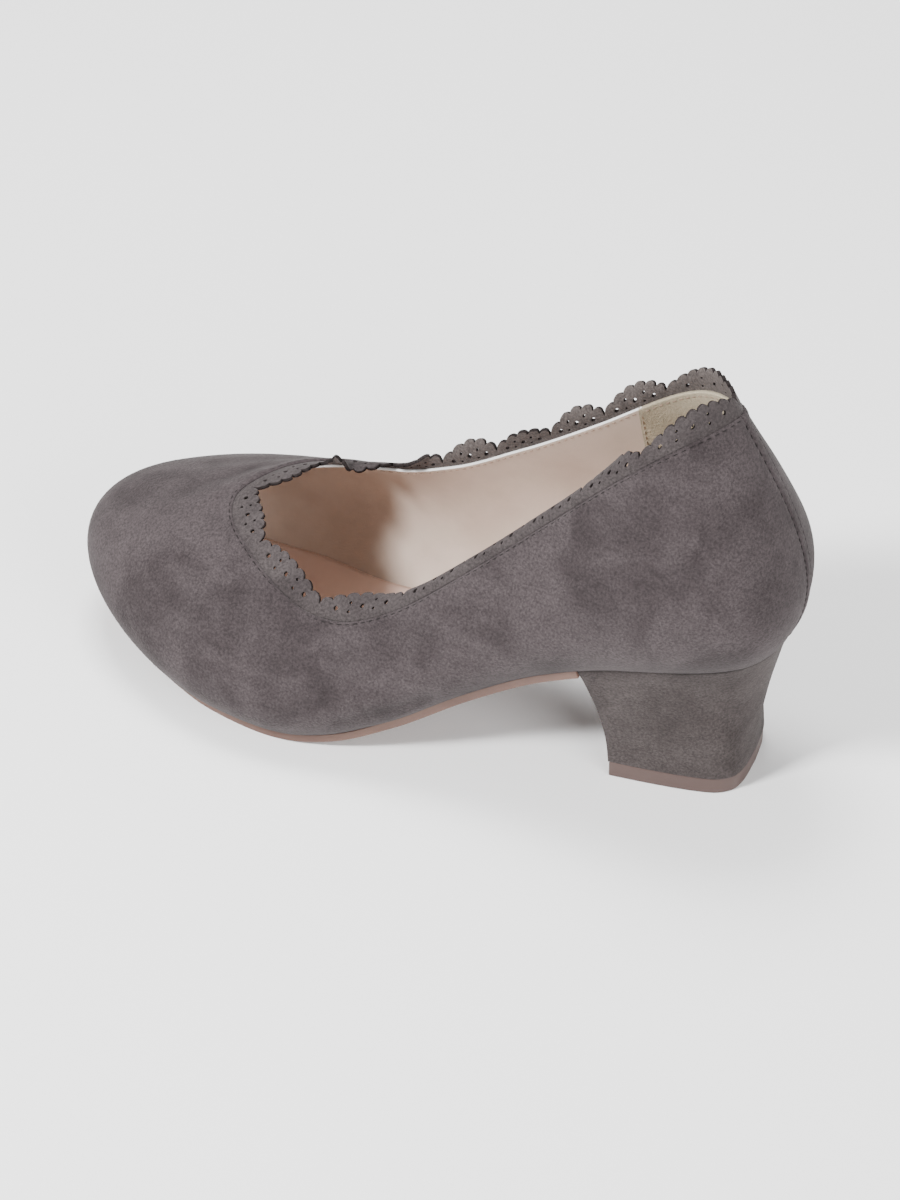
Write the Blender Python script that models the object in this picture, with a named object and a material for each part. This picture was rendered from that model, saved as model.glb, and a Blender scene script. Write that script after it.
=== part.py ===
"""Dirndl pump, left shoe: lasted suede upper, scalloped collar trim, insole, sole, block heel and top lift.

Metres, +Z up. The toe points to +X and the outer (lateral) side of the foot to +Y. The shoe stands on
its ball and on its heel on the plane z = 0. While it is modelled, x = 0 is the back of the heel curve;
at the end everything moves so that the origin is the middle of the box's underside.
"""
import math

import bmesh
import bpy
import numpy as np

# The last
LENGTH = 0.243
BALL_WIDTH = 0.084
HEEL_HEIGHT = 0.049
TOE_SPRING = 0.018
BACK_HEIGHT = 0.083
INSTEP_HEIGHT = 0.056

# The upper's wall
WALL = 0.0022
MARGIN_WIDTH = 0.0070
MARGIN_THICKNESS = 0.0012

# The collar trim
TRIM_THICKNESS = 0.0010
TRIM_SEAT = 0.0034
TRIM_PEAK = 0.0100
TRIM_NOTCH = 0.0052

# The insole and the sole
INSOLE_THICKNESS = 0.0025
SOLE_THICKNESS = 0.0030

# The heel
SEAT_LENGTH = 0.0615
HEEL_FOOT_LENGTH = 0.0420
HEEL_FOOT_WIDTH = 0.0445
HEEL_FOOT_SETBACK = 0.0105
LIFT_THICKNESS = 0.0060
LIFT_INSET = 0.0002

# Fits
CLEARANCE = 0.0003
INSOLE_GAP = 0.0005

# Mesh density, and the angle in degrees past which an edge is shaded sharp
FOOTBED_STATIONS = 44
SEAT_STATIONS = 15
DENSE = 720
SHARP_ANGLE = 40

# One row per station around the last, from the back seam along the lateral side to the toe and back
# along the medial side. The feather line is where the upper turns under; the collar is its stitched
# edge. Shares: along of LENGTH, side of half BALL_WIDTH, height of BACK_HEIGHT and of INSTEP_HEIGHT,
# reach of the distance from feather to collar. Leans and turns in degrees: the wall leans out where it
# rises from the feather, leans in where it comes to the collar, and the trim turns in from there.
STATION_COLUMNS = (
    "feather_along", "feather_side", "facing",
    "collar_along", "collar_side", "back_share", "instep_share",
    "rise_lean", "rise_reach", "set_lean", "set_reach", "trim_turn",
)
STATIONS = (
    ("back",          0.006,  0.00,  180, 0.078,  0.00, 1.01, 0.00, 30, 0.34, 28, 0.42,  -5),
    ("heel lateral",  0.042,  0.48,  140, 0.104,  0.29, 1.01, 0.00, 40, 0.38, 24, 0.42,   0),
    ("seat lateral",  0.150,  0.66,  100, 0.176,  0.53, 0.75, 0.26, 48, 0.38, 16, 0.42,  10),
    ("waist lateral", 0.300,  0.69,   92, 0.300,  0.57, 0.25, 0.65, 50, 0.38, 20, 0.40, 165),
    ("shank lateral", 0.440,  0.80,   90, 0.445,  0.70, 0.00, 0.78, 50, 0.38, 26, 0.38, 190),
    ("joint lateral", 0.590,  0.95,   82, 0.575,  0.78, 0.00, 0.74, 54, 0.40, 36, 0.38,   5),
    ("ball lateral",  0.705,  0.91,   66, 0.665,  0.64, 0.00, 0.85, 56, 0.43, 52, 0.38,  -5),
    ("toe lateral",   0.830,  0.62,   46, 0.722,  0.42, 0.00, 0.95, 56, 0.46, 64, 0.38,  -5),
    ("toe corner",    0.925,  0.20,   22, 0.757,  0.20, 0.00, 0.99, 56, 0.48, 70, 0.38,  -8),
    ("toe",           0.962, -0.26,    0, 0.768, -0.04, 0.00, 1.02, 54, 0.50, 72, 0.38, -12),
    ("toe inner",     0.948, -0.66,  -25, 0.748, -0.25, 0.00, 1.06, 54, 0.48, 70, 0.38,  -2),
    ("toe medial",    0.875, -0.92,  -48, 0.708, -0.46, 0.00, 1.09, 56, 0.46, 64, 0.38,  -5),
    ("ball medial",   0.745, -1.00,  -70, 0.655, -0.63, 0.00, 1.07, 56, 0.43, 54, 0.38, -20),
    ("joint medial",  0.620, -0.85,  -84, 0.585, -0.71, 0.00, 1.02, 54, 0.40, 38, 0.38, -35),
    ("arch medial",   0.450, -0.57,  -90, 0.450, -0.62, 0.10, 0.85, 52, 0.38, 24, 0.38, -55),
    ("waist medial",  0.300, -0.56,  -92, 0.300, -0.55, 0.35, 0.57, 50, 0.38, 20, 0.40, -45),
    ("seat medial",   0.150, -0.62, -100, 0.176, -0.51, 0.75, 0.20, 50, 0.38, 16, 0.42, -30),
    ("heel medial",   0.042, -0.46, -140, 0.106, -0.29, 0.96, 0.00, 40, 0.38, 24, 0.42, -12),
)

# Side view of the last's underside: along as share of LENGTH, rise as shares of HEEL_HEIGHT and TOE_SPRING
BOTTOM_COLUMNS = ("along", "heel_share", "spring_share")
BOTTOM = (
    (0.00, 1.090, 0.00),
    (0.08, 1.060, 0.00),
    (0.20, 0.970, 0.00),
    (0.30, 0.800, 0.00),
    (0.40, 0.540, 0.00),
    (0.50, 0.235, 0.00),
    (0.58, 0.060, 0.00),
    (0.64, 0.006, 0.00),
    (0.67, 0.000, 0.00),
    (0.75, 0.000, 0.00),
    (0.80, 0.000, 0.08),
    (0.90, 0.000, 0.46),
    (1.00, 0.000, 1.00),
)

# Half outline of the heel's foot, from the breast corner to the middle of the back: along as share of
# HEEL_FOOT_LENGTH from the back, side as share of half HEEL_FOOT_WIDTH
HEEL_FOOT = (
    ("breast corner", 1.000, 1.00),
    ("side",          0.720, 0.98),
    ("side middle",   0.430, 0.94),
    ("back corner",   0.180, 0.86),
    ("corner end",    0.040, 0.66),
    ("back side",     0.000, 0.36),
    ("back",         -0.010, 0.00),
)

# Levels of the heel block, its sides slightly hollow: depth as share of the way down from seat to foot,
# narrowing as share of the way from the seat's outline to the foot's
HEEL_LEVELS = (
    (0.00, 0.00),
    (0.14, 0.23),
    (0.29, 0.44),
    (0.43, 0.62),
    (0.57, 0.76),
    (0.71, 0.88),
    (0.86, 0.96),
    (1.00, 1.00),
)

# Heights on the wall, as shares of the way from the feather line to the collar
OUTER_ROWS = (0.00, 0.07, 0.17, 0.29, 0.42, 0.55, 0.68, 0.80, 0.91, 1.00)
INNER_ROWS = (1.00, 0.86, 0.70, 0.54, 0.38, 0.24, 0.13)

# Where the trim's waves meet, as shares of the collar's length from the back seam along the lateral side
NOTCHES = (
    0.000, 0.091, 0.149, 0.207, 0.264, 0.322, 0.392, 0.465,
    0.529, 0.589, 0.647, 0.690, 0.741, 0.791, 0.841, 0.898,
)

# Heights on the trim, as shares of the way from its seat to its edge, and the edge's height at equal
# steps along one wave, as shares of the way from notch to peak
TRIM_ROWS = (0.00, 0.33, 0.67, 1.00)
WAVE_ROWS = (0.00, 0.41, 0.67, 0.85, 0.96, 1.00, 0.96, 0.85, 0.67, 0.41)


def steady(x, xs, ys):
    """Monotone cubic through the points (xs, ys), read at x; flat where neighbours turn back."""
    xs = np.asarray(xs, float)
    ys = np.asarray(ys, float)
    step = np.diff(xs)
    slope = np.diff(ys) / step
    tangent = np.zeros(len(xs))
    tangent[0] = slope[0]
    tangent[-1] = slope[-1]
    for i in range(1, len(xs) - 1):
        if slope[i - 1] * slope[i] > 0:
            before = 2 * step[i] + step[i - 1]
            after = step[i] + 2 * step[i - 1]
            tangent[i] = (before + after) / (before / slope[i - 1] + after / slope[i])
    k = np.clip(np.searchsorted(xs, x, side="right") - 1, 0, len(step) - 1)
    f = np.clip((x - xs[k]) / step[k], 0, 1)
    rise = f * (1 - f) ** 2 * tangent[k] - f * f * (1 - f) * tangent[k + 1]
    return (1 - f * f * (3 - 2 * f)) * ys[k] + f * f * (3 - 2 * f) * ys[k + 1] + rise * step[k]


def closed_curve(values, t):
    """Periodic cubic spline through values at 0, 1, 2, ..., read at the places t."""
    values = np.asarray(values, float)
    n = len(values)
    one = np.eye(n)
    system = 4 * one + np.roll(one, 1, axis=0) + np.roll(one, -1, axis=0)
    second = np.roll(values, 1, axis=0) - 2 * values + np.roll(values, -1, axis=0)
    bend = np.linalg.solve(system, 6 * second)
    t = np.asarray(t, float) % n
    i = np.floor(t).astype(int) % n
    j = (i + 1) % n
    f = (t - np.floor(t))[:, None]
    g = 1 - f
    return g * values[i] + f * values[j] + ((g ** 3 - g) * bend[i] + (f ** 3 - f) * bend[j]) / 6


def underside(x):
    """Height of the last's underside, where upper meets sole or heel, at the length x."""
    table = dict(zip(BOTTOM_COLUMNS, np.array(BOTTOM).T))
    along = np.asarray(x, float) / LENGTH
    heel = steady(along, table["along"], table["heel_share"])
    toe = steady(along, table["along"], table["spring_share"])
    return SOLE_THICKNESS + HEEL_HEIGHT * heel + TOE_SPRING * toe


def stations(t):
    """Every column of the station table at the places t around the last, facing made periodic."""
    table = np.array([row[1:] for row in STATIONS], float)
    n = len(table)
    facing = STATION_COLUMNS.index("facing")
    table[:, facing] -= 180 - 360 * np.arange(n) / n
    values = closed_curve(table, t)
    values[:, facing] += 180 - 360 * (np.asarray(t, float) % n) / n
    return dict(zip(STATION_COLUMNS, values.T))


def unit(vectors):
    return vectors / np.linalg.norm(vectors, axis=-1, keepdims=True)


def handles(t):
    """Feather point, two handles, collar point and outward direction of the wall's curves at t."""
    row = stations(t)
    facing = np.radians(row["facing"])
    out = np.column_stack([np.cos(facing), np.sin(facing), np.zeros(len(facing))])
    up = np.array([0.0, 0.0, 1.0])
    feather_x = row["feather_along"] * LENGTH
    collar_x = row["collar_along"] * LENGTH
    height = row["back_share"] * BACK_HEIGHT + row["instep_share"] * INSTEP_HEIGHT
    feather = np.column_stack([feather_x, row["feather_side"] * BALL_WIDTH / 2, underside(feather_x)])
    collar = np.column_stack([collar_x, row["collar_side"] * BALL_WIDTH / 2, underside(collar_x) + height])
    rise = np.radians(row["rise_lean"])[:, None]
    rest = np.radians(row["set_lean"])[:, None]
    span = np.linalg.norm(collar - feather, axis=1, keepdims=True)
    leave = out * np.sin(rise) + up * np.cos(rise)
    arrive = up * np.cos(rest) - out * np.sin(rest)
    first = feather + leave * span * row["rise_reach"][:, None]
    second = collar - arrive * span * row["set_reach"][:, None]
    return feather, first, second, collar, out


def wall(t, v):
    """Points of the upper's outer face at places t around and shares v of the way up, as (t, v, xyz)."""
    feather, first, second, collar, _ = handles(t)
    v = np.asarray(v, float)[None, :, None]
    g = 1 - v
    low = g ** 3 * feather[:, None] + 3 * v * g ** 2 * first[:, None]
    high = 3 * v ** 2 * g * second[:, None] + v ** 3 * collar[:, None]
    return low + high


def wall_frames(t, v):
    """Points, outward normals and upward tangents of the outer face."""
    t = np.asarray(t, float)
    v = np.asarray(v, float)
    small = 1e-3
    around = wall(t - small, v) - wall(t + small, v)
    up = wall(t, np.minimum(v + small, 1)) - wall(t, np.maximum(v - small, 0))
    normal = unit(np.cross(up, around))
    return wall(t, v), -normal, unit(up)


def collar_places():
    """Places around the last of the trim's columns, as many in each wave as its edge has heights."""
    t = np.linspace(0, len(STATIONS), DENSE + 1)
    collar = wall(t, [1.0])[:, 0]
    run = np.concatenate([[0], np.cumsum(np.linalg.norm(np.diff(collar, axis=0), axis=1))])
    waves = len(NOTCHES)
    column = np.arange(waves * len(WAVE_ROWS)) / len(WAVE_ROWS)
    along = np.interp(column, np.arange(waves + 1), np.append(NOTCHES, 1.0)) * run[-1]
    return np.interp(along, run, t)


def wave_heights(count):
    """Height of the trim above its seam at each column: round waves between sharp notches."""
    share = np.tile(WAVE_ROWS, count // len(WAVE_ROWS))
    return TRIM_NOTCH + (TRIM_PEAK - TRIM_NOTCH) * share


def margin_point(t, inset, height):
    """Points inset from the feather line, at a height above the last's underside."""
    feather, _, _, _, out = handles(t)
    point = feather - out * inset
    point[:, 2] = underside(point[:, 0]) + height
    return point


def upper_rings(t):
    """The upper's closed cross-section at each place t: outer face, step, lining edge, inner face, margin."""
    step = TRIM_THICKNESS + CLEARANCE
    outer, _, _ = wall_frames(t, OUTER_ROWS)
    inner, inward, _ = wall_frames(t, INNER_ROWS)
    inner = inner - inward * WALL
    edge, normal, up = wall_frames(t, [1.0])
    shelf = edge - normal * step
    lining_out = shelf + up * TRIM_SEAT
    lining_in = edge - normal * WALL + up * TRIM_SEAT
    corner = margin_point(t, WALL, MARGIN_THICKNESS)
    margin_top = margin_point(t, MARGIN_WIDTH, MARGIN_THICKNESS)
    margin_end = margin_point(t, MARGIN_WIDTH, 0.0)
    end = np.stack([corner, margin_top, margin_end], axis=1)
    return np.concatenate([outer, shelf, lining_out, lining_in, inner, end], axis=1)


def trim_rings(t):
    """The trim's closed cross-section: up the outer face, over the scalloped edge, down the inner face."""
    edge, normal, up = wall_frames(t, [1.0])
    normal = normal[:, 0]
    up = up[:, 0]
    turn = np.radians(stations(t)["trim_turn"])
    height = wave_heights(len(t))
    outer = [edge[:, 0] + up * CLEARANCE]
    inner = [outer[0] - normal * TRIM_THICKNESS]
    for share in TRIM_ROWS:
        length = (height - TRIM_SEAT) * share
        angle = turn * length / (TRIM_PEAK - TRIM_SEAT)
        chord = length * np.sinc(angle / (2 * np.pi))
        forward = up * np.cos(angle / 2)[:, None] - normal * np.sin(angle / 2)[:, None]
        place = edge[:, 0] + up * TRIM_SEAT + forward * chord[:, None]
        face = normal * np.cos(angle)[:, None] + up * np.sin(angle)[:, None]
        outer.append(place)
        inner.append(place - face * TRIM_THICKNESS)
    return np.stack(outer + inner[::-1], axis=1)


def add_object(name, points, faces, material):
    """A mesh object with its faces pointing out, smooth but for its true edges."""
    mesh = bpy.data.meshes.new(name)
    mesh.from_pydata([tuple(p) for p in points], [], faces)
    work = bmesh.new()
    work.from_mesh(mesh)
    bmesh.ops.triangulate(work, faces=work.faces[:])
    bmesh.ops.recalc_face_normals(work, faces=work.faces[:])
    work.to_mesh(mesh)
    work.free()
    mesh.shade_smooth()
    mesh.set_sharp_from_angle(angle=math.radians(SHARP_ANGLE))
    mesh.materials.append(material)
    made = bpy.data.objects.new(name, mesh)
    bpy.context.scene.collection.objects.link(made)
    return made


def ring_object(name, rings, material):
    """A solid from closed sections (around, section, xyz), joined all the way round."""
    around, section, _ = rings.shape
    faces = []
    for i in range(around):
        j = (i + 1) % around
        for k in range(section):
            m = (k + 1) % section
            faces.append((i * section + k, j * section + k, j * section + m, i * section + m))
    return add_object(name, rings.reshape(-1, 3), faces, material)


def side_curve(points, x, sign):
    """Side coordinate at the lengths x of the outline's half that lies towards sign."""
    back = np.argmin(points[:, 0])
    front = np.argmax(points[:, 0])
    loop = np.roll(points, -back, axis=0)
    turn = (front - back) % len(points)
    halves = (loop[:turn + 1], np.concatenate([loop[turn:], loop[:1]])[::-1])
    half = max(halves, key=lambda h: sign * h[:, 1].mean())
    return np.interp(x, half[:, 0], half[:, 1])


def slab_object(name, top_outline, bottom_outline, start, top, bottom, material):
    """A plate that follows the underside: strips across the foot between two outlines.

    start is where the plate is cut off square, or None where it closes at the outline's own back end.
    """
    turn = np.linspace(0, 1, FOOTBED_STATIONS + 1)
    points = []
    rows = []
    closed = 0.5 - 0.5 * np.cos(np.pi * turn)
    opened = np.sin(0.5 * np.pi * turn)
    for outline, height in ((top_outline, top), (bottom_outline, bottom)):
        back_end = outline[:, 0].min() if start is None else start
        front_end = outline[:, 0].max()
        x = back_end + (front_end - back_end) * (closed if start is None else opened)
        row = []
        for i, place in enumerate(x):
            z = float(height(place))
            tip = i == len(x) - 1 or (i == 0 and start is None)
            signs = (0,) if tip else (1, -1)
            for sign in signs:
                side = float(side_curve(outline, place, sign or 1))
                points.append((place, side, z))
            row.append([len(points) - len(signs), len(points) - 1])
        rows.append(row)
    faces = []
    for row in rows:
        for (a, b), (c, d) in zip(row[:-1], row[1:]):
            faces.append(tuple(dict.fromkeys((a, b, d, c))))
    pairs = list(zip(*rows))
    for (high, low), (next_high, next_low) in zip(pairs[:-1], pairs[1:]):
        for side in (0, 1):
            faces.append((high[side], next_high[side], next_low[side], low[side]))
    if start is not None:
        faces.append((rows[0][0][0], rows[0][0][1], rows[1][0][1], rows[1][0][0]))
    return add_object(name, points, faces, material)


def heel_foot_outline(count, inset):
    """Plan of the heel's foot at the columns of the seat: lateral breast corner, back, medial corner."""
    share = np.linspace(0, 1, len(HEEL_FOOT))
    along = np.array([row[1] for row in HEEL_FOOT]) * (HEEL_FOOT_LENGTH - 2 * inset) + inset
    side = np.array([row[2] for row in HEEL_FOOT]) * (HEEL_FOOT_WIDTH / 2 - inset)
    place = np.linspace(0, 1, count)
    x = HEEL_FOOT_SETBACK + steady(place, share, along)
    y = steady(place, share, side)
    lateral = np.column_stack([x, y])
    medial = np.column_stack([x[:-1], -y[:-1]])[::-1]
    return np.concatenate([lateral, medial])


def seat_outline(feather, count):
    """Plan of the heel's top edge: the feather line from one breast corner round the back to the other."""
    back = feather[:, 0].min() + CLEARANCE
    turn = np.cos(np.linspace(0, 0.5 * np.pi, count))
    x = back + (SEAT_LENGTH - back) * turn
    halves = []
    for sign in (1, -1):
        y = side_curve(feather, x, sign) - sign * CLEARANCE
        y[-1] = 0.5 * (side_curve(feather, x[-1:], 1)[0] + side_curve(feather, x[-1:], -1)[0])
        halves.append(np.column_stack([x, y]))
    return np.concatenate([halves[0], halves[1][:-1][::-1]])


def levels_object(name, levels, material):
    """A solid from open-fronted outlines, one per level; strips across close its two ends and its front."""
    count = len(levels[0])
    points = np.concatenate(levels)
    faces = []
    for level in range(len(levels) - 1):
        low = level * count
        high = low + count
        for i in range(count):
            j = (i + 1) % count
            faces.append((low + i, low + j, high + j, high + i))
    for base in (0, (len(levels) - 1) * count):
        for i in range(count // 2):
            far = count - 1 - i
            strip = (base + i, base + i + 1, base + far - 1, base + far)
            faces.append(tuple(dict.fromkeys(strip)))
    return add_object(name, points, faces, material)


def make_material(name, colour, roughness):
    material = bpy.data.materials.new(name)
    material.use_nodes = True
    shader = material.node_tree.nodes["Principled BSDF"]
    shader.inputs["Base Color"].default_value = (*colour, 1.0)
    shader.inputs["Roughness"].default_value = roughness
    shader.inputs["Metallic"].default_value = 0.0
    return material


for old in list(bpy.data.objects):
    bpy.data.objects.remove(old, do_unlink=True)

suede = make_material("suede", (0.13, 0.11, 0.105), 0.95)
trim_suede = make_material("trim_suede", (0.14, 0.12, 0.115), 0.95)
sock_leather = make_material("sock_leather", (0.62, 0.44, 0.36), 0.6)
sole_leather = make_material("sole_leather", (0.45, 0.32, 0.27), 0.5)
cover_suede = make_material("cover_suede", (0.13, 0.11, 0.105), 0.95)
lift_rubber = make_material("lift_rubber", (0.40, 0.28, 0.25), 0.6)

# Upper and trim share their places around the collar, so that their gap is the same all the way
columns = collar_places()
ring_object("upper", upper_rings(columns), suede)
ring_object("collar_trim", trim_rings(columns), trim_suede)

# Insole: it lies on the turned margin and widens with the wall
dense = np.linspace(0, len(STATIONS), DENSE, endpoint=False)
feather_line, _, _, _, out_line = handles(dense)
insole_low = MARGIN_THICKNESS + CLEARANCE
insole_high = insole_low + INSOLE_THICKNESS
lowest_row, lowest_normal, _ = wall_frames(dense, INNER_ROWS[-1:])
lowest = (lowest_row - lowest_normal * WALL)[:, 0]
corner_line = margin_point(dense, WALL, MARGIN_THICKNESS)
lowest_lift = lowest[:, 2] - underside(lowest[:, 0])
share_up = (insole_high - MARGIN_THICKNESS) / (lowest_lift - MARGIN_THICKNESS)
insole_top = corner_line + (lowest - corner_line) * share_up[:, None] - out_line * INSOLE_GAP
insole_bottom = feather_line - out_line * (WALL + INSOLE_GAP)
slab_object(
    "insole", insole_top, insole_bottom, None,
    lambda x: underside(x) + insole_high, lambda x: underside(x) + insole_low, sock_leather,
)

# Sole: it butts against the heel's breast and ends at the toe
slab_object(
    "sole", feather_line, feather_line, SEAT_LENGTH + CLEARANCE,
    lambda x: underside(x) - CLEARANCE, lambda x: underside(x) - SOLE_THICKNESS, sole_leather,
)

# Heel: hollow-sided block from the seat down to its foot, and the top lift under it
seat = seat_outline(feather_line, SEAT_STATIONS)
foot = heel_foot_outline(SEAT_STATIONS, 0.0)
seat_z = underside(seat[:, 0]) - CLEARANCE
foot_z = LIFT_THICKNESS + CLEARANCE
heel_levels = []
for depth, narrowing in HEEL_LEVELS:
    plan = seat + (foot - seat) * narrowing
    heel_levels.append(np.column_stack([plan, seat_z + (foot_z - seat_z) * depth]))
levels_object("heel", heel_levels, cover_suede)
lift_plan = heel_foot_outline(SEAT_STATIONS, LIFT_INSET)
lift_levels = [np.column_stack([lift_plan, np.full(len(lift_plan), z)]) for z in (LIFT_THICKNESS, 0.0)]
levels_object("top_lift", lift_levels, lift_rubber)

# The origin moves to the middle of the box's underside
shoe = [made for made in bpy.context.scene.collection.objects if made.type == "MESH"]
corners = np.array([vertex.co[:] for made in shoe for vertex in made.data.vertices])
low_corner = corners.min(axis=0)
high_corner = corners.max(axis=0)
middle_x, middle_y = (low_corner + high_corner)[:2] / 2
for made in shoe:
    for vertex in made.data.vertices:
        vertex.co.x -= middle_x
        vertex.co.y -= middle_y
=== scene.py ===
import math

import bmesh
import bpy
import numpy as np
from mathutils import Matrix, Vector, noise


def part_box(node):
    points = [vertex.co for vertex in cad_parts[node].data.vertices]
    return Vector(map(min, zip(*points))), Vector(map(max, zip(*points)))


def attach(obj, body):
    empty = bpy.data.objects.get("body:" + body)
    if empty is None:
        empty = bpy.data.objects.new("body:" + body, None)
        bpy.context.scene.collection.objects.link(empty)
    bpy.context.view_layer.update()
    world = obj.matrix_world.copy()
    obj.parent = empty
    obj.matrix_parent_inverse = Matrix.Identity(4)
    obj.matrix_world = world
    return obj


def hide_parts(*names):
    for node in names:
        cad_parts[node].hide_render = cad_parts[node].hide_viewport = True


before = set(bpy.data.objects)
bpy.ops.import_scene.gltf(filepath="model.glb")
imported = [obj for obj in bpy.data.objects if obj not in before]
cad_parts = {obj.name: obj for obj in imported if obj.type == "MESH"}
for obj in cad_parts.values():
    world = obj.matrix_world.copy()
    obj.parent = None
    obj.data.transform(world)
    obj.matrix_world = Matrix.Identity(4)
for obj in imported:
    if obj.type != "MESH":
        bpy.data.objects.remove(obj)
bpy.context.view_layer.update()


# Studio: a pale floor, three soft lamps and the camera, which stands beside the heel, well above the shoe,
# and looks down at its outer side with a long lens. The lamp at the toe throws the vamp's shadow inside.
VIEW_TURN = math.radians(19.7)
VIEW_RISE = math.radians(40.0)
VIEW_DISTANCE = 1.80
VIEW_CENTRE = Vector((0.0015, 0.0024, 0.050))
VIEW_AIM = Vector((-0.0067, 0.0066, 0.042))
LENS = 170

# Place and width in metres, power in watts
LAMPS = {
    "toe_lamp": ((0.68, 0.84, 1.06), 0.26, 40),
    "overhead_lamp": ((0.30, -0.45, 1.45), 0.60, 26),
    "side_lamp": ((-1.15, 0.80, 0.60), 0.90, 24),
}
AIR_LIGHT = 0.46
FLOOR_SIZE = 6.0
FLOOR_TONE = 0.95


def join_nodes(tree, kind, inputs=(), **settings):
    """A shader node with its settings, its inputs given as values or as the sockets that feed them."""
    made = tree.nodes.new(kind)
    for name, value in settings.items():
        setattr(made, name, value)
    for name, value in dict(inputs).items():
        if isinstance(value, bpy.types.NodeSocket):
            tree.links.new(value, made.inputs[name])
        else:
            made.inputs[name].default_value = value
    return made


def new_finish(name, roughness, **sockets):
    """An empty Principled finish; its shader's own sockets are given by name with _ for each space."""
    finish = bpy.data.materials.new(name)
    finish.use_nodes = True
    shader = finish.node_tree.nodes["Principled BSDF"]
    shader.inputs["Roughness"].default_value = roughness
    for socket, value in sockets.items():
        shader.inputs[socket.replace("_", " ")].default_value = value
    return finish, finish.node_tree, shader


def stand_lamp(name, place, size, energy):
    """A square soft lamp that faces the shoe."""
    lamp = bpy.data.lights.new(name, "AREA")
    lamp.size = size
    lamp.energy = energy
    stand = bpy.data.objects.new(name, lamp)
    stand.location = place
    stand.rotation_euler = (-Vector(place)).to_track_quat("-Z", "Y").to_euler()
    bpy.context.scene.collection.objects.link(stand)


view_from = Vector((
    -math.sin(VIEW_TURN) * math.cos(VIEW_RISE),
    math.cos(VIEW_TURN) * math.cos(VIEW_RISE),
    math.sin(VIEW_RISE),
))
camera = bpy.data.objects.new("camera", bpy.data.cameras.new("camera"))
camera.data.lens = LENS
camera.data.clip_end = 20
camera.location = VIEW_CENTRE + view_from * VIEW_DISTANCE
camera.rotation_euler = (VIEW_AIM - camera.location).to_track_quat("-Z", "Y").to_euler()
bpy.context.scene.collection.objects.link(camera)
bpy.context.scene.camera = camera

for lamp_name, (lamp_place, lamp_size, lamp_power) in LAMPS.items():
    stand_lamp(lamp_name, lamp_place, lamp_size, lamp_power)

studio_air = bpy.data.worlds.new("studio_air")
studio_air.use_nodes = True
air = studio_air.node_tree.nodes["Background"]
air.inputs["Color"].default_value = (1.0, 1.0, 1.0, 1.0)
air.inputs["Strength"].default_value = AIR_LIGHT
bpy.context.scene.world = studio_air

floor_mesh = bmesh.new()
bmesh.ops.create_grid(floor_mesh, x_segments=1, y_segments=1, size=FLOOR_SIZE)
floor = bpy.data.objects.new("floor", bpy.data.meshes.new("floor"))
floor_mesh.to_mesh(floor.data)
floor_mesh.free()
floor_finish, _, floor_shader = new_finish("floor_paper", 0.8)
floor_shader.inputs["Base Color"].default_value = (FLOOR_TONE, FLOOR_TONE, FLOOR_TONE, 1.0)
floor.data.materials.append(floor_finish)
bpy.context.scene.collection.objects.link(floor)


# Upper: vamp and quarters of grey-taupe suede, drawn over the last and closed by one raised seam at the
# back. The top edge is folded over the collar trim and stitched to it, the lower edge is turned under.
# The last's sizes and stations are those of the solids.
LENGTH = 0.243
BALL_WIDTH = 0.084
HEEL_HEIGHT = 0.049
TOE_SPRING = 0.018
BACK_HEIGHT = 0.083
INSTEP_HEIGHT = 0.056
SOLE_THICKNESS = 0.003

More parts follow.
